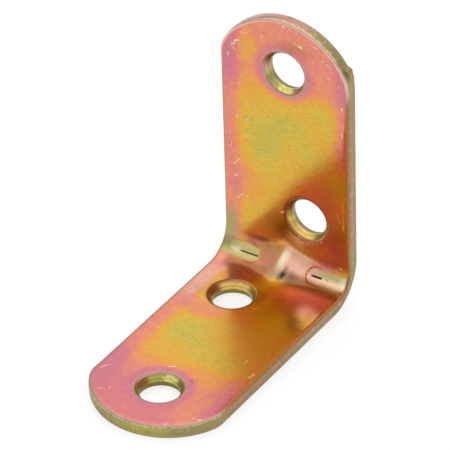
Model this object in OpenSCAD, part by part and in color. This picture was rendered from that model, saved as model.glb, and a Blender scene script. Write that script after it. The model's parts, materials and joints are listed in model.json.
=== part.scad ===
// Corner brace: one strip of sheet steel, blanked with rounded ends, punched for
// four screws and folded square over a pressed gusset.
// +Z is up. The origin is the middle of the heel line, where the two outer faces
// would meet. The base leg lies along -Y, the upright leg stands along +Z.

/* [Strip] */
// Width of the strip
strip_w = 19.2; // [17:0.2:24]
// Thickness of the sheet
sheet_t = 1.9; // [1.6:0.1:2.4]
// Outside length of the base leg
base_leg_l = 40; // [34:0.5:60]
// Outside length of the upright leg
upright_leg_l = 40; // [34:0.5:60]
// How much larger the end arc's radius is than half the width
end_arc_extra = 0.65; // [0.2:0.05:2]
// Radius of the rolled edge round the inner face
edge_r = 0.4; // [0.2:0.05:0.6]
// How far the ear that the shear left on the upright's end stands out of the end arc
ear_out = 0.42; // [0.2:0.02:0.6]
// Thickness of the ear, from the outer face
ear_t = 0.9; // [0.5:0.1:1.3]

/* [Bend] */
// Outside radius of the bend
bend_outer_r = 5.9; // [5.4:0.1:6.4]
// Inside radius of the bend
bend_inner_r = 3.3; // [3:0.1:3.8]

/* [Gusset] */
// Half width of the pressed gusset, at the bend
gusset_half_w = 3.7; // [3.2:0.1:4.2]
// Height of the gusset's crest over the inside of the bend
gusset_h = 1.25; // [0.9:0.05:1.5]
// Radius of the crest
crest_r = 1.4; // [0.8:0.1:1.8]
// Radius at the root of the dent behind the gusset
dent_root_r = 0.5; // [0.3:0.1:0.9]

/* [Coined strips] */
// Width of a coined strip, across the bend
coin_w = 2.5; // [1.8:0.1:3]
// Depth to which a strip is pressed into the middle of the bend
coin_depth = 0.12; // [0.06:0.01:0.2]
// Distance from the middle of the brace to a strip's round end
coin_start = 3.7; // [3.4:0.1:5]
// Width of the crease along the middle of a strip
crease_w = 0.16; // [0.1:0.02:0.3]
// Depth of the crease
crease_depth = 0.2; // [0.1:0.05:0.3]

/* [Screw holes] */
// Diameter of the straight bore
hole_d = 5.3; // [4.5:0.1:5.8]
// Diameter of the hole's rolled rim on the inner face
rim_d = 6.6; // [6.4:0.1:7.4]
// Radius of the rolled rim
rim_r = 0.4; // [0.2:0.05:0.5]
// Length of the straight bore, from the outer face
bore_l = 1; // [0.7:0.05:1.1]
// Distance from a leg's end to its outer hole
outer_hole_in = 7.7; // [6.5:0.1:10]
// Distance from the heel to a leg's inner hole
inner_hole_up = 10.6; // [9.6:0.1:13]
// Sideways offset of the inner holes, to opposite sides
hole_stagger = 3.05; // [0:0.05:4]

/* [Hidden] */
$fn = 96;
slack = 2;
half_w = strip_w / 2;
leg_depth = 2 * sheet_t;
end_arc_r = half_w + end_arc_extra;
// Centre of the inside bend, the same distance from both outer faces
bend_axis = sheet_t + bend_inner_r;
// Along the diagonal from the heel: the outside, the inside and the web between
heel_low = bend_outer_r * (sqrt(2) - 1);
inside_low = bend_axis * sqrt(2) - bend_inner_r;
web_t = inside_low - heel_low;
// The gusset's flanks end this far below the surfaces that they run into
flank_sink = 0.06;
flank_low = inside_low - flank_sink;
crest_top = inside_low + gusset_h;
crest_centre = crest_top - crest_r;
// Slope of the flanks: straight lines from the gusset's feet that touch the crest's arc
flank_drop = crest_centre - flank_low;
flank_reach = sqrt(gusset_half_w * gusset_half_w + flank_drop * flank_drop);
flank_a = asin(crest_r / flank_reach) + atan(flank_drop / gusset_half_w);
flank_peak = flank_low + gusset_half_w * tan(flank_a);
// The nose that pressed the coined strips: it meets the bend at a strip's two sides
nose_side = sqrt(bend_inner_r * bend_inner_r - coin_w * coin_w / 4);
nose_floor = bend_inner_r + coin_depth;
nose_shift = (nose_floor * nose_floor - bend_inner_r * bend_inner_r) / (2 * (nose_floor - nose_side));
nose_r = nose_floor - nose_shift;
// How much wider than its imprint a coined strip's round end is
coin_spare = 0.1;
// Angle up to the corners where a leg's sides run into its end arc
corner_a = acos(half_w / end_arc_r);
// The ear's three corners: angle from the leg's corner, and share of the way out
ear_corners = [[15.5, -0.6], [10, 1], [2, 0.2]];
// The creases' ends, along the width
creases = [[-7, -3.9], [4.1, 6], [6.4, 6.8]];

// What a rolled edge takes off the corner at the origin, which points along side
module edge_bite(side, r) {
    difference() {
        translate([-r, -r]) square(2 * r);
        translate([-side * r, -r]) circle(r);
    }
}

// Section across a leg, with the inner face at y = 0 and its edges rolled
module leg_section() {
    difference() {
        translate([-half_w, -leg_depth]) square([strip_w, leg_depth]);
        for (side = [-1, 1]) translate([side * half_w, 0]) edge_bite(side, edge_r);
    }
}

// Half of the end disc's section, for turning
module disc_section() {
    difference() {
        translate([0, -leg_depth]) square([end_arc_r, leg_depth]);
        translate([end_arc_r, 0]) edge_bite(1, edge_r);
    }
}

// A leg along -Y with its inner face at z = 0 and its end arc at leg_l
module leg(leg_l) {
    arc_y = leg_l - end_arc_r;
    module bar(len) rotate([90, 0, 0]) linear_extrude(len) leg_section();
    translate([0, -bend_axis, 0]) bar(arc_y - bend_axis);
    intersection() {
        translate([0, -bend_axis, 0]) bar(leg_l - bend_axis + slack);
        translate([0, -arc_y, 0]) rotate_extrude() disc_section();
    }
}

// The inside of the bend: the leg's section turned a quarter round the bend axis
module bend() {
    translate([0, -bend_axis, bend_axis]) rotate([0, 90, 0]) rotate_extrude(angle = 90)
        translate([bend_inner_r, 0]) rotate(90) leg_section();
}

// Everything on the inner side of the two outer faces and the outside bend
module outer_bound() {
    rotate([90, 0, 90]) linear_extrude(strip_w + 2 * slack, center = true) difference() {
        translate([-base_leg_l - slack, 0]) square([base_leg_l + slack, upright_leg_l + slack]);
        difference() {
            translate([-bend_outer_r, -slack]) square(bend_outer_r + slack);
            translate([-bend_outer_r, bend_outer_r]) circle(bend_outer_r);
        }
    }
}

// Places a 2-D profile, x across the brace and y out of the heel, along the bend
module across_bend() {
    rotate([135, 0, 0]) linear_extrude(2 * crest_top, center = true) children();
}

// A ridge across the bend: an arc of radius r that two straight flanks touch. The
// flanks would meet at peak, and they end at the height foot.
module ridge(peak, foot, r) {
    centre = peak - r / cos(flank_a);
    touch = [r * sin(flank_a), centre + r * cos(flank_a)];
    foot_x = (peak - foot) / tan(flank_a);
    across_bend() union() {
        translate([0, centre]) circle(r);
        polygon([
            [-foot_x, -slack], [foot_x, -slack], [foot_x, foot],
            touch, [-touch[0], touch[1]], [-foot_x, foot]
        ]);
    }
}

// The gusset, pressed up out of the bend
module gusset() {
    ridge(flank_peak, flank_low, crest_r);
}

// The dent in the heel, which follows the gusset through the sheet
module heel_dent() {
    ridge(flank_peak - web_t / cos(flank_a), heel_low, dent_root_r);
}

// A coined strip, pressed into the bend from its round end out past the edge
module coined_strip(side) {
    plan_w = coin_w + 2 * coin_spare;
    nose_axis = bend_axis - nose_shift / sqrt(2);
    intersection() {
        rotate([45, 0, 0]) translate([0, 0, heel_low]) linear_extrude(bend_axis) {
            translate([side * (coin_start + plan_w / 2), 0]) circle(d = plan_w);
            translate([side * (coin_start + plan_w / 2 + half_w / 2), 0])
                square([half_w, plan_w], center = true);
        }
        translate([0, -nose_axis, nose_axis]) rotate([0, 90, 0])
            cylinder(h = strip_w + 2 * slack, r = nose_r, center = true);
    }
}

// A crease: a narrow V along the middle of a coined strip
module crease(from, to) {
    floor_d = inside_low - coin_depth;
    rotate([45, 0, 0]) translate([from, 0, floor_d]) rotate([90, 0, 90])
        linear_extrude(to - from)
            polygon([[0, -crease_depth], [crease_w, crease_depth], [-crease_w, crease_depth]]);
}

// A punched hole along +Z through a sheet from z = 0 to its inner face
module screw_hole() {
    rim_centre = sheet_t - rim_r;
    rotate_extrude() difference() {
        polygon([
            [0, -slack], [hole_d / 2, -slack], [hole_d / 2, bore_l],
            [rim_d / 2 - rim_r, rim_centre], [rim_d / 2, rim_centre],
            [rim_d / 2, sheet_t + slack], [0, sheet_t + slack]
        ]);
        translate([rim_d / 2, rim_centre]) circle(rim_r);
    }
}

// The two holes of a leg along -Y, the inner one offset to side
module leg_holes(leg_l, side) {
    translate([0, -leg_l + outer_hole_in, 0]) screw_hole();
    translate([side * hole_stagger, -inner_hole_up, 0]) screw_hole();
}

// The ear on the right of the upright's end: what the shear left of the next blank
module ear() {
    arc_z = upright_leg_l - end_arc_r;
    rotate([90, 0, 0]) linear_extrude(ear_t) polygon(concat([[0, arc_z]],
        [for (c = ear_corners) [0, arc_z]
            + (end_arc_r + ear_out * c[1]) * [cos(corner_a + c[0]), sin(corner_a + c[0])]]
    ));
}

// Places what is made for the base leg on the upright leg: half a turn round the
// diagonal, which also puts the upright's inner hole on the other side
module upright() {
    rotate(a = 180, v = [0, -1, 1]) children();
}

module brace() {
    color([0.84, 0.62, 0.29]) difference() {
        intersection() {
            union() {
                translate([0, 0, sheet_t]) leg(base_leg_l);
                upright() translate([0, 0, sheet_t]) leg(upright_leg_l);
                bend();
                gusset();
                ear();
            }
            outer_bound();
        }
        heel_dent();
        leg_holes(base_leg_l, -1);
        upright() leg_holes(upright_leg_l, -1);
        for (side = [-1, 1]) coined_strip(side);
        for (span = creases) crease(span[0], span[1]);
    }
}

brace();
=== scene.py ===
import json
import math
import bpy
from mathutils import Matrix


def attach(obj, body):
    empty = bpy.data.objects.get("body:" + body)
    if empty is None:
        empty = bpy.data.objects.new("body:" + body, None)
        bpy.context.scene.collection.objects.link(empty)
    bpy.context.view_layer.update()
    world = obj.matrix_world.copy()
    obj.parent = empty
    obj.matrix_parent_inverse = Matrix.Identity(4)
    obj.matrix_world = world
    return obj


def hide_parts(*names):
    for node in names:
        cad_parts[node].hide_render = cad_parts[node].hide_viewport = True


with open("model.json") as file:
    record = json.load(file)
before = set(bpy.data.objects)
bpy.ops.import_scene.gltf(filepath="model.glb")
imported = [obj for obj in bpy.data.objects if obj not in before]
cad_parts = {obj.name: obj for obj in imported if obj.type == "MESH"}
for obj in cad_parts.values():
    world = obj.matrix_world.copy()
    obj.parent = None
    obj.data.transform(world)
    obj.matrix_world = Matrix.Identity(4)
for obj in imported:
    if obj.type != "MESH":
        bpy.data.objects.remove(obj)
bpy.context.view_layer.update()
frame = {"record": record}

from types import SimpleNamespace

import bpy
from mathutils import Matrix, Vector
from mathutils.geometry import delaunay_2d_cdt

mm = 0.001               # sizes below are in millimetres, Blender's are in metres


# a node's output, wrapped so that sums on it are written as plain Python
class Wire:
    def __init__(self, socket):
        self.socket = socket
        self.tree = socket.id_data

    # any node: its settings first, then what its sockets get; gives back one output
    @staticmethod
    def make(tree, kind, settings, sockets, out=0):
        node = tree.nodes.new(kind)
        for name, value in settings.items():
            if name == "stops":
                while len(node.color_ramp.elements) < len(value):
                    node.color_ramp.elements.new(0.5)
                for element, (place, rgb) in zip(node.color_ramp.elements, value):
                    element.position = place
                    element.color = (*rgb, 1.0)
            else:
                setattr(node, name, value)
        for key, value in sockets.items():
            if isinstance(value, Wire):
                tree.links.new(value.socket, node.inputs[key])
            else:
                node.inputs[key].default_value = value
        return Wire(node.outputs[out]) if node.outputs else None

    def calc(self, operation, *others, clamp=False):
        values = dict(enumerate((self, *others)))
        return self.make(self.tree, "ShaderNodeMath", {"operation": operation, "use_clamp": clamp}, values)

    def turned(self, operation, other):      # the same with self in the second place
        return self.make(self.tree, "ShaderNodeMath", {"operation": operation}, {0: other, 1: self})

    def __add__(self, other):
        return self.calc("ADD", other)

    def __radd__(self, other):
        return self.turned("ADD", other)

    def __sub__(self, other):
        return self.calc("SUBTRACT", other)

    def __rsub__(self, other):
        return self.turned("SUBTRACT", other)

    def __mul__(self, other):
        return self.calc("MULTIPLY", other)

    def __rmul__(self, other):
        return self.turned("MULTIPLY", other)

    def __truediv__(self, other):
        return self.calc("DIVIDE", other)

    def __neg__(self):
        return self.calc("MULTIPLY", -1.0)

    def __abs__(self):
        return self.calc("ABSOLUTE")

    def most(self, other):
        return self.calc("MAXIMUM", other)

    def least(self, other):
        return self.calc("MINIMUM", other)

    def clamp(self, low=0.0, high=1.0):
        return self.least(high).most(low)

    def sin(self):
        return self.calc("SINE")

    def cos(self):
        return self.calc("COSINE")

    def sqrt(self):
        return self.calc("SQRT")

    def ease(self, low, high):               # 0 at low and 1 at high, which may be the smaller
        t = (self - low).calc("DIVIDE", high - low, clamp=True)
        return t * t * (3.0 - 2.0 * t)

    def hill(self, middle, reach):           # 1 at middle, 0 at reach away from it
        return abs(self - middle).ease(reach, 0.0)

    def mixed(self, first, second):          # colours: first at 0, second at 1
        sockets = {0: self, 6: first, 7: second}
        return self.make(self.tree, "ShaderNodeMix", {"data_type": "RGBA"}, sockets, out=2)

    def ramp(self, stops):
        return self.make(self.tree, "ShaderNodeValToRGB", {"stops": stops}, {0: self})

    def split(self):
        first = self.make(self.tree, "ShaderNodeSeparateXYZ", {}, {0: self})
        return [Wire(socket) for socket in first.socket.node.outputs]


def colour(rgb):
    return (*rgb, 1.0)


def smooth(value, low, high):                # Wire.ease for plain numbers
    t = min(max((value - low) / (high - low), 0.0), 1.0)
    return t * t * (3.0 - 2.0 * t)


# The strip, flat: x across it, s along it from the middle of the bend, positive on the upright.
strip = {
    "width": 19.2,
    "baseLeg": 40.0,
    "uprightLeg": 40.0,
    "thickness": 1.9,
    "insideRadius": 3.3,
    "outsideRadius": 5.9,
    "endRadius": 10.25,
    "endCorner": 0.9,        # how far the corner between side and end arc is eased, each way
    # cut edge from the inner face to the outer one: (inset, depth)
    "cutEdge": [
        (0.74, 0.0), (0.55, 0.010), (0.38, 0.035), (0.25, 0.075), (0.15, 0.135), (0.07, 0.22), (0.02, 0.32),
        (0.0, 0.42), (0.0, 0.6), (0.0, 0.78), (0.0, 0.95), (0.02, 1.02), (0.03, 1.15), (0.04, 1.35),
        (0.04, 1.55), (0.05, 1.72), (0.06, 1.82), (0.10, 1.87), (0.18, 1.9),
    ],
    "burr": (0.15, 0.09),    # how far the cut edge stands out: on the base leg, on the upright
    "burrChange": 5.0,       # from one to the other within this length each way of the bend's middle
    "shoulder": (150.0, 28.0, 0.14),    # fuller left corners: degrees round the end arc, reach, how far out
    # punched hole, the same way: (how much wider than the bore, depth)
    "holeEdge": [
        (0.84, 0.0), (0.70, 0.010), (0.57, 0.045), (0.47, 0.10), (0.39, 0.19), (0.33, 0.30), (0.24, 0.42),
        (0.10, 0.56), (0.02, 0.66), (0.0, 0.75), (0.0, 0.95), (0.0, 1.15), (0.0, 1.28), (0.03, 1.34),
        (0.06, 1.45), (0.10, 1.62), (0.13, 1.78), (0.16, 1.87), (0.24, 1.9),
    ],
    # the ear on the upright's right corner: (degrees up the end arc, how far out), behind this depth
    "ear": [(20.5, 0.0), (22.5, 0.08), (30.5, 0.42), (33.5, 0.0)],
    "earDepth": 1.0,
}

# How finely the blank is meshed.
meshing = {
    "outline": 0.2,
    "arcTurns": 120,         # steps of an end arc, before the outline is stepped evenly
    "cornerTurns": 10,
    "holeTurns": 120,
    "firstRow": 0.05,        # between the inner face's rows: in the middle of the bend
    "bendRow": 0.12,         # at most in the rest of the bend
    "legRow": 0.3,           # and on the legs
    "growth": (1.25, 1.12),  # from row to row, in the bend and past it
    "bendEnd": 4.6,
    "column": 0.2,
    "fine": 0.055,           # at knocks, creases and the round ends of the coined strips
    "fineGap": 0.06,         # left free round the fine points
    "outerFace": 0.36,
    "edgeSpare": 0.6,        # share of a step that stays free inside the outline, and round the holes
    "holeSpare": 0.5,
}
halfWidth = strip["width"] / 2
bendAxis = strip["thickness"] + strip["insideRadius"]
# a leg's length from the heel, less its length along the strip
flatStart = bendAxis - strip["insideRadius"] * math.pi / 4


def alongStrip(leg, length):
    return (length - flatStart) * (-1 if leg == "base" else 1)


reach = {leg: abs(alongStrip(leg, strip[leg + "Leg"])) for leg in ("base", "upright")}


# the screw holes, from the record's mounts: (x, s, radius)
def screwHoles():
    found = []
    for mount in frame["record"]["mounts"]:
        if mount["kind"] == "bore":
            x, y, z = (v / mm for v in mount["pos_m"])
            leg, length = ("base", -y) if abs(mount["axis"][2]) > 0.5 else ("upright", z)
            found.append((x, alongStrip(leg, length), mount["dims"]["r_mm"]))
    return found


holes = screwHoles()

# Knocks on the inner faces, as the photograph shows them: leg, path (across, along the leg), half
# width, depth and how much of the film is gone, at most 1.
knocks = [
    ("upright", [(-6.8, 35.2), (-7.35, 35.05), (-7.5, 34.5), (-7.85, 34.4)], 0.11, 0.05, 1.0),
    ("upright", [(-7.95, 34.0), (-7.45, 33.75)], 0.1, 0.05, 0.9),
    ("upright", [(-6.4, 36.6), (-5.3, 36.7)], 0.09, 0.03, 0.5),
    ("upright", [(-3.35, 37.1), (-3.2, 36.7)], 0.09, 0.03, 0.5),
    ("upright", [(1.65, 37.35), (1.8, 37.3)], 0.09, 0.05, 0.9),
    ("upright", [(2.3, 37.2), (2.75, 37.1)], 0.23, 0.16, 0.9),
    ("upright", [(-0.15, 39.3), (0.2, 39.35)], 0.09, 0.04, 0.8),
    ("upright", [(0.85, 39.4), (1.25, 39.35)], 0.09, 0.04, 0.8),
    ("upright", [(1.85, 39.1), (2.0, 39.0)], 0.09, 0.04, 0.8),
    ("upright", [(4.2, 37.9), (5.2, 37.7)], 0.09, 0.03, 0.4),
    ("upright", [(5.8, 36.15), (6.0, 36.1)], 0.09, 0.04, 0.6),
    ("upright", [(6.35, 35.85), (6.8, 35.7)], 0.08, 0.03, 0.4),
    ("upright", [(6.6, 33.85), (7.1, 33.7)], 0.1, 0.04, 0.5),
    ("upright", [(8.15, 33.2), (8.25, 32.9)], 0.08, 0.04, 0.6),
    ("upright", [(8.65, 30.1), (8.7, 29.6)], 0.1, 0.05, 0.9),
    ("upright", [(-8.45, 33.0), (-8.4, 32.5)], 0.09, 0.04, 0.7),
    ("upright", [(-6.75, 29.0), (-6.9, 28.5)], 0.09, 0.03, 0.5),
    ("upright", [(-4.55, 26.1), (-4.75, 25.6)], 0.09, 0.04, 0.6),
    ("upright", [(-5.4, 24.0), (-5.95, 23.15)], 0.09, 0.04, 0.7),
    ("upright", [(-7.35, 23.7), (-7.5, 23.4)], 0.11, 0.05, 0.7),
    ("upright", [(-8.5, 20.5), (-8.55, 20.2)], 0.09, 0.04, 0.7),
    ("upright", [(-8.35, 19.2), (-8.4, 18.6)], 0.11, 0.05, 0.8),
    ("upright", [(-7.2, 16.8), (-8.0, 15.7)], 0.09, 0.04, 0.8),
    ("upright", [(-7.55, 14.1), (-7.95, 13.85)], 0.1, 0.05, 0.9),
    ("upright", [(-7.55, 10.55), (-6.85, 11.4), (-6.9, 10.8)], 0.1, 0.05, 0.9),
    ("upright", [(-6.3, 11.15), (-6.05, 11.3)], 0.09, 0.04, 0.8),
    ("upright", [(-8.05, 9.6), (-7.9, 9.4)], 0.09, 0.04, 0.7),
    ("upright", [(-0.85, 10.5), (-0.25, 10.75)], 0.09, 0.05, 0.7),
    ("upright", [(8.65, 26.5), (8.6, 25.5)], 0.09, 0.05, 0.8),
    ("upright", [(8.7, 15.4), (8.7, 11.0)], 0.08, 0.03, 0.5),
    ("upright", [(7.8, 13.3), (8.2, 12.1)], 0.08, 0.03, 0.4),
    ("upright", [(8.2, 4.85), (8.45, 4.65)], 0.11, 0.06, 0.7),
    ("upright", [(1.9, 7.55), (2.4, 7.35)], 0.08, 0.04, 0.5),
    ("upright", [(2.9, 7.2), (3.3, 7.15)], 0.08, 0.04, 0.6),
    ("upright", [(3.8, 7.25), (4.5, 7.45)], 0.08, 0.04, 0.5),
    ("upright", [(5.1, 7.7), (5.4, 7.9)], 0.07, 0.04, 0.4),
    ("base", [(-6.45, 36.6), (-6.35, 36.2)], 0.1, 0.04, 0.6),
    ("base", [(-5.3, 35.9), (-5.35, 35.5)], 0.1, 0.04, 0.6),
    ("base", [(-8.7, 32.6), (-8.5, 32.0), (-8.2, 31.7)], 0.09, 0.04, 0.7),
    ("base", [(3.9, 34.55), (4.5, 35.15)], 0.09, 0.04, 0.8),
    ("base", [(4.7, 38.4), (5.0, 38.1)], 0.09, 0.04, 0.8),
    ("base", [(5.9, 37.5), (6.1, 37.3)], 0.09, 0.04, 0.7),
    ("base", [(7.25, 35.9), (7.4, 35.6)], 0.09, 0.05, 0.8),
    ("base", [(7.9, 35.6), (8.15, 35.3)], 0.09, 0.05, 0.8),
    ("base", [(-1.5, 28.15), (-0.75, 27.7)], 0.11, 0.04, 0.8),
    ("base", [(2.7, 29.0), (3.05, 29.3), (3.35, 29.0)], 0.12, 0.05, 0.0),
    ("base", [(-9.0, 21.3), (-7.4, 21.6), (-6.6, 22.1)], 0.08, 0.02, 0.4),
    ("base", [(-7.85, 17.3), (-7.5, 17.2)], 0.1, 0.04, 0.6),
    ("base", [(8.75, 25.0), (8.7, 24.0)], 0.09, 0.04, 0.6),
    ("base", [(6.3, 22.6), (6.5, 22.0)], 0.07, 0.03, 0.4),
    ("base", [(-8.2, 13.1), (-7.5, 12.7)], 0.08, 0.03, 0.6),
    ("base", [(-8.4, 12.2), (-7.6, 12.3)], 0.07, 0.02, 0.5),
    ("base", [(1.1, 12.3), (1.5, 11.6)], 0.07, 0.03, 0.4),
]

# The bend and what is pressed into it: the fold tree's inputs.
bend = {
    "Thickness": strip["thickness"],
    "Inside Radius": strip["insideRadius"],
    "Outside Radius": strip["outsideRadius"],
    "Gusset Half Width": 3.7,
    "Gusset Height": 1.25,
    "Flank Sink": 0.06,      # how far below the inside of the bend the gusset's flanks end
    "Crest Radius": 1.4,
    "Gusset Softness": 2.0,
    "Coin Width": 2.5,
    "Coin Depth": 0.06,
    "Coin Start": 3.7,
    "Coin Border Out": 0.04,    # how crisp a strip's border is, outwards and inwards
    "Coin Border In": 0.06,
    "Coin Lip": 0.03,        # the lip round a coined strip's end: height, place and half width
    "Lip Place": 0.12,
    "Lip Width": 0.16,
    "Crease Depth": 0.16,
    "Edge Swell": 0.15,      # metal squeezed out sideways: how far, and where it starts and ends
    "Swell Start": 6.0,
    "Swell Reach": 4.5,
    "Dish": 0.14,            # how far the upright's inner face is hollowed, and where that starts and is full
    "Dish Start": 3.0,
    "Dish Full": 12.0,
}
creases = [(-7.0, -3.9, 0.10), (4.1, 6.0, 0.16), (6.4, 6.85, 0.12)]   # ends along x, half width

# A knock's section, in half widths from its middle: its raised lip, and where the film is gone.
knockSection = {
    "lipHeight": 0.25,       # as a share of the depth
    "lipPlace": 1.15,
    "lipWidth": 0.25,
    "bare": (1.25, 0.6),
    "reach": 1.7,
    "deepest": 0.3,          # no knock reaches further than this from the inner face, in millimetres
}


def fromPath(x, s, path):
    nearest = 1e9
    for (ax, ay), (bx, by) in zip(path, path[1:]):
        dx, dy = bx - ax, by - ay
        t = min(max(((x - ax) * dx + (s - ay) * dy) / (dx * dx + dy * dy), 0.0), 1.0)
        nearest = min(nearest, math.hypot(x - ax - t * dx, s - ay - t * dy))
    return nearest


# a path with the box round all places closer than far to it
def boxed(path, far):
    return (path, far, min(p[0] for p in path) - far, max(p[0] for p in path) + far,
            min(p[1] for p in path) - far, max(p[1] for p in path) + far)


def within(x, s, zone):
    path, far, x0, x1, s0, s1 = zone
    return x0 < x < x1 and s0 < s < s1 and fromPath(x, s, path) < far


knockZones = [boxed([(x, alongStrip(leg, length)) for x, length in path], wide * knockSection["reach"])
              for leg, path, wide, _, _ in knocks]


# what needs close points: the knocks, the creases and the round ends of the coined strips
def fineZones():
    roundCrease, roundCoin = 0.12, 0.3
    zones = list(knockZones)
    for start, end, wide in creases:
        zones.append(boxed([(start, 0.0), (end, 0.0)], wide + roundCrease))
    radius = bend["Coin Width"] / 2
    for side in (-1, 1):
        arc = [(side * (bend["Coin Start"] + radius * (1 - math.cos(a))), radius * math.sin(a))
               for a in (math.radians(degrees) for degrees in range(-90, 91, 15))]
        zones.append(boxed(arc, roundCoin))
    return zones


# how high the knocks leave a place, with their raised lips, and how bare the metal is there
def knockAt(x, s):
    height = bare = 0.0
    for (_, _, wide, deep, gone), zone in zip(knocks, knockZones):
        if within(x, s, zone):
            d = fromPath(x, s, zone[0]) / wide
            fromLip = (d - knockSection["lipPlace"]) / knockSection["lipWidth"]
            lip = knockSection["lipHeight"] * math.exp(-fromLip ** 2)
            height += deep * (lip - max(1 - d * d, 0.0))
            bare += gone * smooth(d, *knockSection["bare"])
    return height, min(bare, 1.0)


# one end of the outline, from the right side over the arc to the left side
def endPath(far, corner):
    radius = strip["endRadius"]
    centre = far - radius
    kink = math.acos(halfWidth / radius)
    start = kink + corner / radius
    turns = meshing["arcTurns"]
    arc = [(radius * math.cos(a), centre + radius * math.sin(a))
           for a in (start + (math.pi - 2 * start) * i / turns for i in range(turns + 1))]
    joint = (halfWidth, centre + radius * math.sin(kink))
    below = (halfWidth, joint[1] - corner)
    eased = []
    for i in range(meshing["cornerTurns"]):
        t = i / meshing["cornerTurns"]
        eased.append(tuple((1 - t) ** 2 * a + 2 * t * (1 - t) * k + t * t * b
                           for a, k, b in zip(below, joint, arc[0])))
    return eased + arc + [(-x, s) for x, s in reversed(eased)]


# the whole outline, evenly stepped, counter-clockwise, with its outward normals
def outline():
    loop = endPath(reach["upright"], strip["endCorner"])
    loop += [(-x, -s) for x, s in endPath(reach["base"], strip["endCorner"])]
    loop.append(loop[0])
    lengths = [0.0]
    for a, b in zip(loop, loop[1:]):
        lengths.append(lengths[-1] + math.dist(a, b))
    count = round(lengths[-1] / meshing["outline"])
    points, k = [], 0
    for i in range(count):
        want = lengths[-1] * i / count
        while lengths[k + 1] < want:
            k += 1
        t = (want - lengths[k]) / max(lengths[k + 1] - lengths[k], 1e-9)
        points.append(tuple(a + t * (b - a) for a, b in zip(loop[k], loop[k + 1])))
    normals = []
    for i in range(count):
        a, b = points[i - 1], points[(i + 1) % count]
        d = math.dist(a, b)
        normals.append(((b[1] - a[1]) / d, (a[0] - b[0]) / d))
    return points, normals


def insideOutline(x, s, margin):
    beyond = abs(s) - (reach["upright" if s > 0 else "base"] - strip["endRadius"])
    if halfWidth - abs(x) < margin:
        return False
    return beyond < 0 or strip["endRadius"] - math.hypot(x, beyond) > margin


# how far the left corners stand out
def shoulderAt(x, s):
    middle, spread, out = strip["shoulder"]
    angle = math.degrees(math.atan2(abs(s) - (reach["upright"] - strip["endRadius"]), x))
    return out * smooth(abs(angle - middle), spread, 0.0)


# how far the ear stands out at a place of the outline
def earAt(x, s):
    angle = math.degrees(math.atan2(s - (reach["upright"] - strip["endRadius"]), x))
    for (a, low), (b, high) in zip(strip["ear"], strip["ear"][1:]):
        if s > 0 and x > 0 and a <= angle < b:
            return low + (high - low) * (angle - a) / (b - a)
    return 0.0


# rows along the strip, close together at the bend and wider on the legs
def rowPlaces():
    quick, slow = meshing["growth"]
    places, s, step = [0.0], 0.0, meshing["firstRow"]
    while s < reach["upright"]:
        s += step
        places += [s, -s]
        if s < meshing["bendEnd"]:
            step = min(step * quick, meshing["bendRow"])
        else:
            step = min(step * slow, meshing["legRow"])
    return places


# the points between the loops of the inner face
def innerPoints(margin, holeMargin):
    def free(x, s, spare):
        return insideOutline(x, s, margin + spare) and all(
            math.hypot(x - h[0], s - h[1]) > h[2] + holeMargin + spare for h in holes)

    zones = fineZones()
    fine, gap, step = meshing["fine"], meshing["fineGap"], meshing["column"]
    close = set()
    for zone in zones:
        _, _, x0, x1, s0, s1 = zone
        for i in range(math.floor(x0 / fine), math.ceil(x1 / fine) + 1):
            for j in range(math.floor(s0 / fine), math.ceil(s1 / fine) + 1):
                if within(i * fine, j * fine, zone) and free(i * fine, j * fine, gap):
                    close.add((i, j))
    points = [(i * fine, j * fine) for i, j in sorted(close)]
    wider = [boxed(path, far + gap) for path, far, *_ in zones]
    wideCount = round(halfWidth / step)
    for s in rowPlaces():
        for i in range(-wideCount, wideCount + 1):
            x = i * step
            if free(x, s, meshing["edgeSpare"] * step) and not any(within(x, s, zone) for zone in wider):
                points.append((x, s))
    return points


def outerPoints(margin, holeMargin):
    step = meshing["outerFace"]
    atEdge, atHole = margin + meshing["edgeSpare"] * step, holeMargin + meshing["holeSpare"] * step
    rows, columns = round(reach["upright"] / step), round(halfWidth / step)
    grid = [(i * step, j * step) for j in range(-rows, rows + 1) for i in range(-columns, columns + 1)]
    return [(x, s) for x, s in grid if insideOutline(x, s, atEdge) and all(
        math.hypot(x - h[0], s - h[1]) > h[2] + atHole for h in holes)]


# triangles between an outer loop, the holes' loops and the points inside
def filled(loops, inside, holeRadii):
    points, edges = [], []
    for loop in loops:
        start = len(points)
        points += loop
        edges += [(start + i, start + (i + 1) % len(loop)) for i in range(len(loop))]
    points += inside
    insideOnly, tolerance = 1, 1e-7          # no triangles outside the outer loop
    places = [Vector(p) for p in points]
    verts, _, faces, origins, _, _ = delaunay_2d_cdt(places, edges, [], insideOnly, tolerance)
    kept = []
    for face in faces:
        a, b, c = (verts[i] for i in face)
        middle = (a + b + c) / 3
        if not any((middle - Vector(h[:2])).length < r for h, r in zip(holes, holeRadii)):
            kept.append([origins[i][0] for i in face])
    return kept


# the cut edge's loops of points, from the inner face to the outer one
def edgeLoops():
    edge, normals = outline()
    onBase, onUpright = strip["burr"]
    change = strip["burrChange"]
    loops = []
    for inset, depth in strip["cutEdge"]:
        loop = []
        for (x, s), (nx, ns) in zip(edge, normals):
            out = onBase + (onUpright - onBase) * smooth(s, -change, change) + shoulderAt(x, s) - inset
            if depth >= strip["earDepth"]:
                out += earAt(x, s)
            loop.append((x + nx * out, s + ns * out, strip["thickness"] - depth))
        loops.append(loop)
    return loops


# the same for the wall of a punched hole
def boreLoops(hx, hs, radius):
    turns = meshing["holeTurns"]
    loops = []
    for extra, depth in strip["holeEdge"]:
        loop = []
        for i in range(turns):
            a, r = -2 * math.pi * i / turns, radius + extra
            loop.append((hx + r * math.cos(a), hs + r * math.sin(a), strip["thickness"] - depth))
        loops.append(loop)
    return loops


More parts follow.
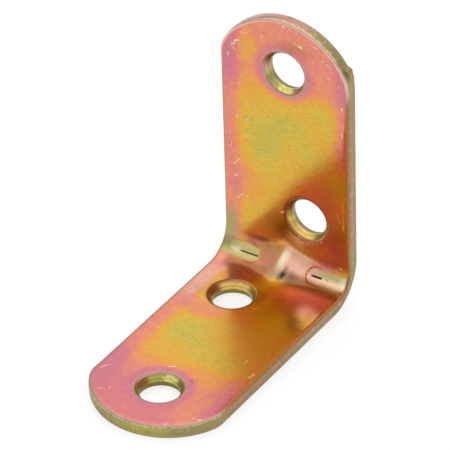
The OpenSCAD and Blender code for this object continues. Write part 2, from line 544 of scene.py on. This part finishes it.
# the flat blank as one closed skin: inner face, outer face, cut edge and hole walls
def blankMesh():
    thick = strip["thickness"]
    verts, faces = [], []

    def wall(loops):
        rings = []
        for loop in loops:
            verts.extend(loop)
            rings.append(range(len(verts) - len(loop), len(verts)))
        for upper, lower in zip(rings, rings[1:]):
            n = len(upper)
            faces.extend([upper[i], lower[i], lower[(i + 1) % n], upper[(i + 1) % n]] for i in range(n))
        return rings

    walls = [wall(edgeLoops())] + [wall(boreLoops(*hole)) for hole in holes]
    for which, makePoints, height in ((0, innerPoints, thick), (-1, outerPoints, 0.0)):
        extra = strip["holeEdge"][which][0]
        inside = makePoints(strip["cutEdge"][which][0], extra)
        rings = [rings[which] for rings in walls]
        ids = [i for ring in rings for i in ring] + list(range(len(verts), len(verts) + len(inside)))
        verts.extend((x, s, height) for x, s in inside)
        radii = [(h[2] + extra) * math.cos(math.pi / meshing["holeTurns"]) for h in holes]
        for tri in filled([[verts[i][:2] for i in ring] for ring in rings], inside, radii):
            corners = [ids[i] for i in tri]
            faces.append(corners[::-1] if which else corners)

    bareness = [0.0] * len(verts)
    for i, (x, s, z) in enumerate(verts):
        if z > thick - knockSection["deepest"]:
            height, bareness[i] = knockAt(x, s)
            verts[i] = (x, s, z + height)
    mesh = bpy.data.meshes.new("blank")
    mesh.from_pydata([(x * mm, s * mm, z * mm) for x, s, z in verts], [], faces)
    mesh.attributes.new("bareness", "FLOAT", "POINT").data.foreach_set("value", bareness)
    mesh.update()
    print("blank:", len(verts), "points,", sum(len(f) - 2 for f in faces), "triangles")
    return mesh


def startTree(name, sizes):
    tree = bpy.data.node_groups.new(name, "GeometryNodeTree")
    tree.interface.new_socket("Geometry", in_out="INPUT", socket_type="NodeSocketGeometry")
    tree.interface.new_socket("Geometry", in_out="OUTPUT", socket_type="NodeSocketGeometry")
    for size in sizes:
        tree.interface.new_socket(size, in_out="INPUT", socket_type="NodeSocketFloat")
    inputs = tree.nodes.new("NodeGroupInput")
    return tree, {socket.name: Wire(socket) for socket in inputs.outputs if socket.name}


# the length s of a strip rolled a quarter turn on a radius: how far the turn's axis has moved, and the turn
def rolled(s, radius, axis):
    halfArc = radius * (math.pi / 4)
    turn = (s / radius + math.pi / 4).clamp(0.0, math.pi / 2)
    return (s + halfArc).least(0.0) - axis, (s - halfArc).most(0.0) + axis, turn


# where the bend takes a place: each face is rolled on its own radius, and share lies between them
def rolledPlace(s, share, size):
    inner, outer = size["Inside Radius"], size["Outside Radius"]
    axisIn = size["Thickness"] + inner
    y1, z1, turn1 = rolled(s, inner, axisIn)
    y1, z1 = y1 + inner * turn1.sin(), z1 - inner * turn1.cos()
    quarter = inner * (math.pi / 4) + (outer - axisIn)
    stretch = outer * (math.pi / 4) / quarter
    near = s.most(-quarter).least(quarter)
    y0, z0, turn0 = rolled(near * stretch + (s - near), outer, outer)
    y0, z0 = y0 + outer * turn0.sin(), z0 - outer * turn0.cos()
    return y0 + (y1 - y0) * share, z0 + (z1 - z0) * share


# the coined strips, deepest in the middle and with a round crisp end, and the creases along them: how
# deep they are, and where the strips lie
def pressedStrips(x, s, size):
    halfCoin = size["Coin Width"] * 0.5
    along = (abs(x) - size["Coin Start"] - halfCoin).least(0.0)
    fromCoin = (along * along + s * s).sqrt() - halfCoin
    inCoin = fromCoin.ease(size["Coin Border Out"], -size["Coin Border In"])
    across = (s / halfCoin).clamp(-1.0, 1.0)
    bowl = 1.0 - across * across
    shallowLeft = 0.4 + 0.6 * x.ease(-mm, mm)
    coin = size["Coin Depth"] * shallowLeft * inCoin * bowl * bowl
    onEnd = (along / halfCoin).ease(0.0, -0.5)
    lip = size["Coin Lip"] * fromCoin.hill(size["Lip Place"], size["Lip Width"]) * onEnd
    crease = 0.0
    for start, end, wide in creases:
        span = x.ease(start * mm, (start + 0.6) * mm) * x.ease(end * mm, (end - 0.2) * mm)
        crease = (span * (1.0 - abs(s) / (wide * mm))).most(0.0) + crease
    return coin + size["Crease Depth"] * crease - lip, inCoin


# how far the gusset lifts a place along the diagonal out of the heel: a rounded crest on straight flanks
def gussetLift(x, y, up, share, size):
    root = 2.0 ** 0.5
    inner, outer, half = size["Inside Radius"], size["Outside Radius"], size["Gusset Half Width"]
    insideLow = (size["Thickness"] + inner) * root - inner
    web = insideLow - outer * (root - 1.0)
    rise = size["Gusset Height"] + size["Flank Sink"]
    slope = rise * rise / (half * half - 2.0 * rise * size["Crest Radius"])
    blunt = size["Crest Radius"] * slope
    ridge = insideLow + size["Gusset Height"] + blunt - (blunt * blunt + slope * x * x).sqrt()
    diagonal = (up - y) / root
    lifted = diagonal.calc("SMOOTH_MAX", ridge - web * (1.0 - share), size["Gusset Softness"])
    return lifted - diagonal


# folds the flat blank round the bend, with its gusset, coined strips, creases and swollen edges
def foldTree(metal):
    tree, size = startTree("foldStrip", bend)
    flat = Wire.make(tree, "GeometryNodeInputPosition", {}, {})
    x, s, z = flat.split()
    share = z / size["Thickness"]            # 0 at the outer face, 1 at the inner one
    y, up = rolledPlace(s, share, size)
    pressed, inCoin = pressedStrips(x, s, size)
    lift = gussetLift(x, y, up, share, size) * (1.0 - inCoin * share) - pressed * share
    y, up = y - lift / 2.0 ** 0.5, up + lift / 2.0 ** 0.5
    fromMiddle = x / (halfWidth * mm)
    hollow = (1.0 - fromMiddle * fromMiddle) * s.ease(size["Dish Start"], size["Dish Full"])
    y = y + size["Dish"] * hollow * share
    atSide = abs(x).ease(size["Swell Start"], halfWidth * mm)
    swell = size["Edge Swell"] * s.hill(0.0, size["Swell Reach"]) * share * atSide
    x = x + x.calc("SIGN") * swell

    attribute = {"data_type": "FLOAT_VECTOR", "domain": "POINT"}
    kept = Wire.make(tree, "GeometryNodeStoreNamedAttribute", attribute, {
        "Geometry": size["Geometry"], "Name": "flatPlace", "Value": flat})
    folded = Wire.make(tree, "ShaderNodeCombineXYZ", {}, {0: x, 1: y, 2: up})
    moved = Wire.make(tree, "GeometryNodeSetPosition", {}, {"Geometry": kept, "Position": folded})
    smoothed = Wire.make(tree, "GeometryNodeSetShadeSmooth", {}, {"Geometry": moved})
    real = Wire.make(tree, "GeometryNodeRealizeInstances", {}, {"Geometry": smoothed})
    done = Wire.make(tree, "GeometryNodeSetMaterial", {}, {"Geometry": real, "Material": metal})
    Wire.make(tree, "NodeGroupOutput", {}, {0: done})
    return tree


# runs a tree on a mesh and keeps the result as a plain mesh
def finished(name, mesh, tree, sizes):
    piece = bpy.data.objects.new(name, mesh)
    bpy.context.scene.collection.objects.link(piece)
    modifier = piece.modifiers.new("shape", "NODES")
    modifier.node_group = tree
    for item in tree.interface.items_tree:
        if item.in_out == "INPUT" and item.name in sizes:
            modifier[item.identifier] = sizes[item.name] * mm
    bpy.context.view_layer.update()
    shaped = bpy.data.meshes.new_from_object(piece.evaluated_get(bpy.context.evaluated_depsgraph_get()))
    piece.modifiers.remove(modifier)
    piece.data = shaped
    shaped.name = name
    return piece


# The plating: zinc under a yellow chromate film, whose colour follows its thickness.
plating = {
    # the film from thin to thick
    "film": [(0.0, (0.46, 0.43, 0.10)), (0.15, (0.58, 0.455, 0.08)), (0.30, (0.68, 0.445, 0.06)),
             (0.45, (0.735, 0.385, 0.055)), (0.56, (0.765, 0.325, 0.09)), (0.68, (0.76, 0.265, 0.16)),
             (0.85, (0.68, 0.205, 0.21)), (1.0, (0.61, 0.19, 0.235))],
    "usual": 0.37,
    # noises over the flat strip: scale, detail, shift, stretch and turn in radians
    "noises": {
        "drift": (0.16, 2.0, (0.0, 0.0, 0.0), (1.0, 1.0, 1.0), 0.0),
        "cloud": (0.5, 3.0, (7.0, 3.0, 0.0), (1.0, 1.0, 1.0), 0.0),
        "mottle": (1.7, 4.0, (1.0, 5.0, 2.0), (1.0, 1.0, 1.0), 0.0),
        "grain": (6.0, 3.0, (3.0, 1.0, 0.0), (1.0, 1.0, 1.0), 0.0),
        "fineGrain": (9.0, 2.0, (6.0, 2.0, 0.0), (1.0, 1.0, 1.0), 0.0),
        "pores": (5.0, 4.0, (1.0, 1.0, 1.0), (1.0, 1.0, 1.0), 0.0),
        "speck": (1.6, 3.0, (2.0, 8.0, 1.0), (1.0, 1.0, 1.0), 0.0),
        "dots": (4.5, 1.0, (5.0, 2.0, 0.0), (1.0, 1.0, 1.0), 0.0),
        "streak": (0.35, 2.0, (4.0, 1.0, 0.0), (1.0, 1.0, 1.0), 0.0),
        "shear": (2.6, 2.0, (3.0, 0.0, 6.0), (1.0, 1.0, 0.3), 0.0),
        "scratchy": (2.2, 3.0, (0.0, 4.0, 0.0), (0.6, 4.5, 1.0), 0.8),
        "brushed": (3.0, 2.0, (2.0, 6.0, 0.0), (0.4, 3.0, 1.0), 0.8),
        "hair": (1.0, 2.0, (0.0, 9.0, 0.0), (0.35, 5.0, 1.0), 0.9),
    },
    # how much of each goes into the film's thickness
    "uneven": {"drift": 0.22, "cloud": 0.16, "mottle": 0.2, "grain": 0.2, "scratchy": 0.2},
    # it gets thicker towards the sides, the ends and the outer holes: from, to, how much
    "bands": {
        "left": (-5.6, -8.4, 0.35),
        "leftEnds": (-6.5, -8.5, 0.1),
        "right": (6.6, 8.6, 0.13),
        "rightUpright": (6.6, 8.6, 0.17),
        "baseEnd": (24.0, 33.5, 0.52),
        "uprightEnd": (27.0, 33.0, 0.34),
        "outerHoles": (2.4, 0.9, 0.30),
    },
    # where it is thicker or thinner: leg, place across and along the leg, reach each way, how much
    "patches": [
        ("upright", -6.0, 13.5, 3.2, 4.0, 0.20), ("upright", -3.6, 21.0, 4.2, 5.4, -0.24),
        ("upright", 0.5, 24.3, 3.6, 3.2, -0.20), ("upright", 3.6, 21.0, 3.0, 3.2, -0.12),
        ("upright", 5.5, 27.3, 2.4, 2.4, -0.12), ("upright", -5.8, 34.5, 2.6, 3.4, -0.17),
        ("upright", 5.5, 11.0, 7.0, 8.5, 0.24), ("upright", -2.0, 6.0, 5.0, 3.2, 0.14),
        ("upright", 7.5, 7.0, 3.0, 5.0, 0.12), ("upright", -6.0, 29.0, 2.5, 4.0, 0.08),
        ("base", -4.3, 15.0, 4.8, 2.5, 0.32), ("base", -3.2, 20.5, 4.4, 3.8, -0.20),
        ("base", 0.2, 23.2, 3.4, 3.2, -0.12), ("base", 3.2, 23.8, 2.8, 2.8, -0.12),
        ("base", 6.2, 34.0, 3.6, 6.5, -0.19), ("base", 6.5, 7.8, 5.5, 4.6, 0.26),
        ("base", 1.5, 9.5, 4.0, 3.4, 0.12), ("base", -4.5, 5.6, 4.0, 2.8, 0.40),
        ("upright", 5.5, 4.3, 3.0, 1.6, 0.25), ("upright", -5.0, 4.4, 2.0, 1.5, 0.30),
        ("base", 7.4, 28.0, 2.4, 4.0, 0.14),
        ("base", 8.5, 15.5, 2.2, 5.0, 0.12), ("upright", 5.5, 14.5, 4.5, 4.0, 0.14),
        ("upright", 4.5, 6.5, 4.0, 3.0, 0.08), ("base", 4.6, 6.3, 4.5, 3.2, 0.12),
    ],
    # darker places: stains, and painted shade round the gusset and by the base leg's inner hole: the same way
    "stains": [
        ("base", -3.6, 6.2, 3.6, 2.6, 0.45), ("upright", -0.8, 8.4, 3.2, 2.4, 0.35),
        ("base", 0.4, 9.6, 1.6, 2.6, 0.45), ("upright", 8.2, 8.0, 2.4, 5.0, 0.3),
        ("base", 3.0, 11.5, 2.6, 2.6, 0.25), ("upright", -4.6, 4.6, 2.8, 1.2, 0.5),
        ("upright", 1.5, 36.3, 3.4, 1.3, 0.3), ("upright", -2.6, 4.9, 2.6, 1.1, 0.5),
        ("base", -7.6, 11.0, 2.4, 3.4, 0.18), ("base", 8.4, 9.5, 1.6, 3.0, 0.25),
    ],
    # dark brown of the stains, dark grain and brush marks, and of painted shade
    "stain": (0.20, 0.055, 0.012),
    # painted shade: dark spots beside the crest's foot and in a nick at the strip's outer end: the same way
    "pits": [
        ("base", 0.7, 4.3, 0.6, 1.1, 0.65), ("base", 1.05, 3.5, 0.45, 1.3, 0.5),
        ("base", 1.8, 4.0, 1.4, 1.3, 0.35), ("base", 9.45, 3.75, 0.5, 0.4, 1.0),
    ],
    # painted highlights: the same way
    "glints": [("base", 9.0, 2.3, 0.8, 0.9, 0.9), ("upright", -7.2, 2.7, 1.3, 0.5, 0.5)],
    "bareZinc": (0.93, 0.80, 0.62),
    "palePink": (0.84, 0.55, 0.47),
    "rollBrown": (0.38, 0.16, 0.055),
    "rollGrey": (0.50, 0.32, 0.22),
    "wallBrown": (0.345, 0.21, 0.105),
    "wallOlive": (0.31, 0.29, 0.11),
    "wallGold": (0.43, 0.42, 0.09),
    "wallPink": (0.58, 0.31, 0.25),
    "lineCream": (0.78, 0.68, 0.45),
    "rimGrey": (0.47, 0.27, 0.22),
    "rimBrown": (0.36, 0.16, 0.075),
    "boreGreen": (0.45, 0.42, 0.12),
    "boreGold": (0.80, 0.50, 0.14),
    "boreLight": (1.0, 1.0, 0.30),
    "boreOlive": (0.34, 0.30, 0.06),
    "borePink": (0.62, 0.36, 0.25),
    "boreRed": (0.29, 0.13, 0.035),
    "boreDark": (0.25, 0.19, 0.04),
    "boreGrey": (0.33, 0.25, 0.14),
    "coinGreen": (0.62, 0.55, 0.23),
    "edgeGreen": (0.38, 0.345, 0.135),
    "coinBrown": (0.52, 0.33, 0.17),
    "coinPale": (0.76, 0.67, 0.28),
    "coinCream": (0.88, 0.62, 0.40),
    "crestCream": (1.0, 0.83, 0.58),
    "crestDull": (0.52, 0.35, 0.18),
    "flankPink": (0.93, 0.51, 0.39),
    "flankBrown": (0.74, 0.31, 0.17),
    # the dark colour of painted shade in creases and dark spots
    "soot": (0.05, 0.045, 0.012),
    # how strongly the marks show
    "marks": {"darkGrain": 0.45, "paleGrain": 0.2, "brushed": 0.42, "hair": 0.22, "dots": 0.5},
    # roughness of the film, and what it gains with the grain, on the cut edge, where that is torn, where
    # it is scuffed, at the bend and towards the end of the base leg
    "roughness": 0.15,
    "rougher": {"grain": 0.06, "cut": 0.16, "torn": 0.12, "scuffed": 0.12, "bend": 0.12, "baseLeg": 0.12},
}


# what the colours depend on: a place's coordinates on the flat strip, its distances and the noises
def stripFields(tree):
    at = SimpleNamespace()
    flat = Wire.make(tree, "ShaderNodeAttribute", {"attribute_name": "flatPlace"}, {}, out=1)
    at.bareness = Wire.make(tree, "ShaderNodeAttribute", {"attribute_name": "bareness"}, {}, out=2)
    at.x, at.s, z = (v / mm for v in flat.split())
    at.depth = strip["thickness"] - z            # below the inner face
    at.length = abs(at.s) + flatStart            # along a leg from the heel
    at.upright = at.s.ease(-0.4, 0.4)            # 0 on the base leg
    at.right = at.x.ease(-0.2, 0.2)
    at.innerHole = at.length.ease(22.0, 20.0)    # 0 round the outer holes
    at.arc = at.length.ease(30.0, 34.0)          # 1 round a leg's end
    for name, (scale, detail, shift, stretch, turn) in plating["noises"].items():
        place = Wire.make(tree, "ShaderNodeMapping", {}, {
            "Vector": flat, "Location": shift, "Rotation": (0.0, 0.0, turn),
            "Scale": [v / mm for v in stretch]})
        noise = Wire.make(tree, "ShaderNodeTexNoise", {}, {"Vector": place, "Scale": scale, "Detail": detail})
        setattr(at, name, noise - 0.5)
    addDistances(at)
    return at


# distances to the outline and to the bores, and which way a place lies from its bore
def addDistances(at):
    arcStart = reach["upright"] - strip["endRadius"]
    beyond = (abs(at.s) - arcStart).most(0.0)
    fromArc = strip["endRadius"] - (at.x * at.x + beyond * beyond).sqrt()
    at.fromRim = fromArc.least(halfWidth - abs(at.x))
    at.fromHole = at.fromOuter = strip["width"]
    at.toRight = at.toTop = 0.0
    for hx, hs, radius in holes:
        dx, ds = at.x - hx, at.s - hs
        far = (dx * dx + ds * ds).sqrt()
        here = far.ease(radius + 1.3, radius + 1.2)
        at.toRight = dx / far * here + at.toRight
        at.toTop = ds / far * here + at.toTop
        at.fromHole = (far - radius).least(at.fromHole)
        if abs(hs) > arcStart:
            at.fromOuter = (far - radius).least(at.fromOuter)


# how far a place lies inside the oval spots of a list, times their amounts
def spots(at, listed, warp):
    total = 0.0
    for leg, px, pl, rx, rl, amount in listed:
        dx, ds = (at.x + warp - px) / rx, (at.s + warp - alongStrip(leg, pl)) / rl
        total = amount * (dx * dx + ds * ds).sqrt().ease(1.15, 0.2) + total
    return total


# how much one of the bands adds to the film's thickness at a place
def band(place, name):
    start, full, amount = plating["bands"][name]
    return amount * place.ease(start, full)


def filmThickness(at, warp):
    side, end = at.x + warp * 0.5, at.length + warp * 0.5
    thickness = plating["usual"]
    for name, amount in plating["uneven"].items():
        thickness = getattr(at, name) * amount + thickness
    thickness = thickness + spots(at, plating["patches"], warp)
    thickness = thickness + band(side, "left") + band(at.x, "leftEnds") * at.length.ease(25.0, 29.0)
    onRight = band(side, "right") + at.upright * band(side, "rightUpright")
    thickness = thickness + onRight * at.length.ease(16.0, 22.0)
    thickness = thickness + (1.0 - at.upright) * band(end, "baseEnd") + at.upright * band(end, "uprightEnd")
    farEnd = at.length.ease(32.0, 35.0)
    return thickness + band(at.fromOuter + at.cloud, "outerHoles") * (1.0 - 0.5 * farEnd)


# the legs' faces: the film's own colour, stains and painted shade, a pale left side and dull rims round the
# holes
def filmFace(at, tone):
    warp = at.cloud * 2.4
    at.thickness = filmThickness(at, warp)
    face = at.thickness.clamp().ramp(plating["film"])
    # stains, with painted shade round the gusset and beside the base leg's inner hole
    face = spots(at, plating["stains"], warp).clamp().mixed(face, tone["stain"])
    thin = (at.x + warp).ease(-6.4, -8.0) * at.length.hill(9.5, 7.0) * (1.0 - at.upright)
    face = (0.45 * thin).mixed(face, tone["palePink"])
    face = (0.8 * (at.fromOuter + 0.5 * at.mottle).ease(1.2, 0.75)).mixed(face, tone["rimGrey"])
    ringed = (at.fromHole + 0.4 * at.mottle).ease(1.05, 0.65) * at.innerHole * (0.75 - 0.4 * at.toRight)
    return ringed.clamp().mixed(face, tone["rimBrown"])


# the coined strips: green and pale on the left, pink, green and cream on the right; the pale and cream parts
# are partly film colour and partly painted highlight
def coinFace(at, tone, face):
    x, s, cloud = at.x, at.s, at.cloud
    radius = bend["Coin Width"] / 2
    along = (abs(x) - bend["Coin Start"] - radius).least(0.0)
    fromCoin = (along * along + s * s).sqrt() - radius
    left = (s + 0.5 * cloud).ease(-1.3, -0.1).mixed(tone["coinBrown"], tone["coinGreen"])
    left = s.ease(0.0, 0.9).mixed(left, tone["coinPale"])
    right = (s + 0.6 * cloud).ease(0.8, -0.3).mixed(tone["coinGreen"], tone["coinCream"])
    right = x.ease(6.0, 4.6).mixed(right, tone["flankPink"])
    inCoin = fromCoin.ease(0.06, -0.06) * abs(s + 0.3 * cloud).ease(1.5, 0.6)
    return inCoin.mixed(face, at.right.mixed(left, right))


# the rest of the bend: the gusset's flanks, its crest, rubbed pale and with a painted highlight, painted
# shade under it, painted glints, and painted shade in dark spots and creases
def bendFace(at, tone, face):
    x, s, cloud, right = at.x, at.s, at.cloud, at.right
    # the gusset's flanks: brown on the left; on the right a pink that is partly film colour and partly
    # painted highlight
    inFlank = (s + 0.5 * cloud).ease(-2.9, -0.9) * (s + 0.6 * cloud - 0.6 * right).ease(3.4, 0.2)
    inFlank = inFlank * (abs(x) + cloud).ease(5.2, 2.6)
    face = inFlank.mixed(face, right.mixed(tone["flankBrown"], tone["flankPink"]))
    face = coinFace(at, tone, face)
    greenish = (x + 1.92 * cloud).ease(-6.8, -8.5) * s.ease(7.5, 4.0) * s.ease(-1.2, 0.2)
    face = (0.9 * greenish).mixed(face, tone["edgeGreen"])
    # painted shade in the heel under the gusset
    under = (s + 0.3 * cloud).ease(-0.6 + 0.5 * right, -1.5 + 0.3 * right) * s.ease(-3.4, -2.0)
    under = under * abs(x).ease(0.5, 2.2) * x.ease(-8.6, -7.4)
    face = (under * (0.5 + 0.25 * right)).mixed(face, tone["stain"])
    # the crest, rubbed pale: partly worn film and partly painted highlight, duller towards its foot on the
    # base leg
    crest = (s + 0.4 * cloud).ease(-1.6, 0.6).mixed(tone["crestDull"], tone["crestCream"])
    fromCrest = abs(x - 0.22 * s - 0.15 + 0.3 * cloud)    # it leans to the right on its way up
    onCrest = fromCrest.ease(0.85, 0.1) * s.ease(3.2, 1.3) * s.ease(-3.3, -1.9)
    face = onCrest.mixed(face, crest)
    # painted shade in the creases
    creaseShade = 0.0
    for start, end, wide in creases:
        creaseShade = x.ease(start, start + 0.5) * x.ease(end, end - 0.15) * abs(s).ease(wide, wide * 0.5) + creaseShade
    # painted highlights, then the painted shade
    face = spots(at, plating["glints"], 0.3 * cloud).clamp().mixed(face, tone["crestCream"])
    return (creaseShade + spots(at, plating["pits"], 0.4 * cloud)).clamp().mixed(face, tone["soot"])


# the cut edge: its rolled corner, a rubbed line below that, partly wear and partly painted highlight, and the
# sheared wall
def edgeFace(at, tone):
    x, depth, arc, upright, speck, streak = at.x, at.depth, at.arc, at.upright, at.speck, at.streak
    roll = (arc + 0.6 * x.ease(-6.0, -8.0)).clamp().mixed(tone["rollBrown"], tone["rollGrey"])
    roll = (0.8 * arc * upright).mixed(roll, tone["palePink"])
    wall = (arc * (0.8 + speck * 1.5)).clamp().mixed(tone["wallBrown"], tone["wallOlive"])
    golden = arc * (x + streak * 8.0).hill(2.0, 5.5) * (1.0 - upright)
    wall = (golden * (0.9 + speck)).clamp().mixed(wall, tone["wallGold"])
    rosy = (0.5 + streak * 2.0).clamp() * depth.ease(1.2, 1.7) * 0.5
    rosy = upright * arc * (x + streak * 6.0).ease(4.5, 1.5) + rosy
    wall = rosy.clamp().mixed(wall, tone["wallPink"])
    topRim = upright * arc * (x + streak * 3.0).ease(0.5, -2.5) * (depth + speck * 0.4).ease(0.75, 1.1)
    wall = (0.9 * topRim).mixed(wall, tone["palePink"])
    olive = upright * at.length.ease(10.0, 6.5) * 0.7 + at.shear.ease(-0.03, -0.16) * 0.75
    wall = olive.clamp().mixed(wall, tone["wallOlive"])
    wall = (at.shear.ease(0.03, 0.16) * 0.65 * (1.0 - golden * 0.8)).clamp().mixed(wall, tone["wallPink"])
    edge = depth.ease(0.12, 0.34).mixed(roll, wall)
    # the pale line below the rolled corner: partly burnished wear and partly painted highlight
    rubbedAndHighlit = depth.hill(0.27, 0.10) * (arc * (0.75 + speck * 3.0) + 0.5 * (speck - 0.1)).clamp()
    return rubbedAndHighlit.mixed(edge, tone["lineCream"])


# the walls of the holes: a painted highlight next to the heel, dull on the right and below the torn line
def boreFace(at, tone):
    depth, upright, innerHole, speck = at.depth, at.upright, at.innerHole, at.speck
    toRight, toTop = at.toRight, at.toTop
    bore = (innerHole * (0.9 + speck)).clamp().mixed(tone["boreGreen"], tone["boreGold"])
    # painted highlight on the wall next to the heel
    glintBase, glintUpright = (toTop + 0.3 * speck).ease(0.9, 1.0), (0.3 * speck - toTop).ease(0.85, 1.0)
    glint = (1.0 - upright) * glintBase + upright * glintUpright
    glint = glint * (0.8 - 0.6 * innerHole) * (0.9 + speck * 2.0) * depth.ease(1.15, 0.9)
    bore = glint.clamp().mixed(bore, tone["boreLight"])
    aside = (toRight + 0.3 * speck).ease(0.22, 0.55) + upright * (toTop + 0.2 * speck).ease(-0.35, -0.1)
    bore = aside.clamp().mixed(bore, (upright * (1.0 - innerHole)).mixed(tone["boreOlive"], tone["borePink"]))
    ends = (1.0 - upright) * abs(toRight).ease(0.84, 0.98) + upright * (toTop - 0.3 * toRight).ease(0.2, 0.7)
    bore = ends.clamp().mixed(bore, tone["boreRed"])
    torn = (depth + speck * 0.3).ease(1.0, 1.3)
    return torn.mixed(bore, upright.mixed(tone["boreDark"], tone["boreGrey"]))


# grain, brush marks, specks and hair scratches from the plating barrel, and the knocks
def wornFace(at, tone, face):
    marks, onFace = plating["marks"], 1.0 - at.onCut
    coarse = at.fineGrain + 0.5 * at.mottle
    face = (marks["darkGrain"] * coarse.ease(0.02, 0.45)).mixed(face, tone["stain"])
    face = (marks["paleGrain"] * coarse.ease(-0.04, -0.45)).mixed(face, tone["bareZinc"])
    brushed = at.brushed.ease(0.03, 0.25) * at.thickness.ease(0.5, 0.25)    # where the film is thin
    face = (marks["brushed"] * brushed * onFace).mixed(face, tone["stain"])
    hair = at.hair.ease(0.16, 0.24) * (0.35 + at.cloud * 1.5).clamp() * onFace
    nearRim = at.fromRim.ease(2.4, 0.4)
    dots = at.dots.ease(0.20, 0.27) * (0.15 + nearRim) * (0.5 + at.drift * 2.0).clamp()
    scuffed = at.bareness * (0.6 + at.fineGrain * 4.0) + marks["hair"] * hair
    at.scuffed = (scuffed + marks["dots"] * dots * (1.0 - 0.6 * at.onCut)).clamp()
    return at.scuffed.mixed(face, tone["bareZinc"])


def filmRoughness(at):
    more = plating["rougher"]
    torn = (at.depth + at.speck * 0.25).ease(0.98, 1.1) * at.onCut
    rough = plating["roughness"] + more["grain"] * at.grain + more["cut"] * at.onCut
    rough = rough + more["torn"] * torn + more["scuffed"] * at.scuffed
    rough = rough + more["bend"] * at.length.ease(9.0, 4.5)
    return rough + more["baseLeg"] * (1.0 - at.upright) * at.length.ease(11.0, 18.0)


def platedMetal(name):
    material = bpy.data.materials.new(name)
    material.use_nodes = True
    tree = material.node_tree
    tree.nodes.clear()
    tone = {key: colour(rgb) for key, rgb in plating.items() if isinstance(rgb, tuple)}
    at = stripFields(tree)
    inBore = at.fromHole.ease(0.8, 0.45)
    onWall = at.depth.ease(strip["thickness"] - 0.001, strip["thickness"] - 0.04)    # not on the outer face
    at.onCut = at.depth.ease(0.02, 0.2) * onWall
    face = bendFace(at, tone, filmFace(at, tone))
    face = (at.depth.ease(0.008, 0.07) * onWall * (1.0 - inBore)).mixed(face, edgeFace(at, tone))
    face = (at.depth.ease(0.10, 0.30) * onWall * inBore).mixed(face, boreFace(at, tone))
    face = wornFace(at, tone, face)
    bump = Wire.make(tree, "ShaderNodeBump", {}, {"Strength": 0.3, "Distance": 0.02 * mm, "Height": at.pores})
    shader = Wire.make(tree, "ShaderNodeBsdfPrincipled", {}, {
        "Metallic": 1.0, "Base Color": face, "Roughness": filmRoughness(at), "Normal": bump})
    Wire.make(tree, "ShaderNodeOutputMaterial", {}, {"Surface": shader})
    return material


brace = finished("foldedBrace", blankMesh(), foldTree(platedMetal("chromatedZinc")), bend)
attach(brace, "root")
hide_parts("brace")
print("brace folded:", len(brace.data.polygons), "faces")


# The photograph's viewpoint, fitted to the outline, edges and holes of the brace.
camera = {
    "azimuth": 33.9015,      # degrees round from the front, towards +X
    "elevation": 35.0216,
    "roll": -1.735,
    "distance": 0.54495,     # metres, as the places below
    "lens": 339.97,
    "sensor": 36.0,
    "lookAt": (0.0, -0.01344, 0.015765),
    "slide": -0.0016032,     # of the point looked at, along the picture's width
    "clip": (0.01, 10.0),
}


def makeCamera():
    az, el, roll = (math.radians(camera[k]) for k in ("azimuth", "elevation", "roll"))
    back = Vector((math.sin(az) * math.cos(el), -math.cos(az) * math.cos(el), math.sin(el)))
    right = Vector((math.cos(az), math.sin(az), 0.0))
    up = back.cross(right)
    across = math.cos(roll) * right + math.sin(roll) * up
    upward = math.cos(roll) * up - math.sin(roll) * right
    place = Vector(camera["lookAt"]) + right * camera["slide"] + back * camera["distance"]
    data = bpy.data.cameras.new("camera")
    data.sensor_width = camera["sensor"]
    data.lens = camera["lens"]
    data.clip_start, data.clip_end = camera["clip"]
    made = bpy.data.objects.new("camera", data)
    made.matrix_world = Matrix.Translation(place) @ Matrix((across, upward, back)).transposed().to_4x4()
    bpy.context.scene.collection.objects.link(made)
    bpy.context.scene.camera = made


# The studio: a pale, glowing table under a dome that is brightest overhead and at the back, with a
# bright low band in front.
studio = {
    "tableColour": (0.32, 0.32, 0.32),
    "tableGlow": 0.69,
    "tableSide": 3.0,
    "horizon": 0.45,
    "overhead": 1.21,
    "rise": (0.10, 0.90),    # heights of the sky between which it brightens
    "back": 0.24,            # how much brighter it is towards the back
    "frontBand": 0.62,       # how bright the low band in front is
    "bandHeights": (0.6, 0.1),    # from its upper border to where it is full
}


def makeStudio():
    scene = bpy.context.scene
    world = bpy.data.worlds.new("dome")
    scene.world = world
    world.use_nodes = True
    tree = world.node_tree
    tree.nodes.clear()
    _, y, z = Wire.make(tree, "ShaderNodeTexCoord", {}, {}).split()
    light = studio["horizon"] + (studio["overhead"] - studio["horizon"]) * z.ease(*studio["rise"])
    light = light + studio["back"] * y + studio["frontBand"] * z.ease(*studio["bandHeights"]) * (-y).clamp()
    sky = Wire.make(tree, "ShaderNodeBackground", {}, {"Color": (1, 1, 1, 1), "Strength": light})
    Wire.make(tree, "ShaderNodeOutputWorld", {}, {"Surface": sky})

    half = studio["tableSide"] / 2
    corners = [(-half, -half, 0), (half, -half, 0), (half, half, 0), (-half, half, 0)]
    mesh = bpy.data.meshes.new("table")
    mesh.from_pydata(corners, [], [(0, 1, 2, 3)])
    table = bpy.data.objects.new("table", mesh)
    scene.collection.objects.link(table)
    cover = bpy.data.materials.new("paleTable")
    cover.use_nodes = True
    tree = cover.node_tree
    tree.nodes.clear()
    shader = Wire.make(tree, "ShaderNodeBsdfPrincipled", {}, {
        "Base Color": colour(studio["tableColour"]), "Roughness": 0.6,
        "Emission Color": (1, 1, 1, 1), "Emission Strength": studio["tableGlow"]})
    Wire.make(tree, "ShaderNodeOutputMaterial", {}, {"Surface": shader})
    mesh.materials.append(cover)
    scene.view_settings.view_transform = "Standard"


makeCamera()
makeStudio()
print("camera and studio set")
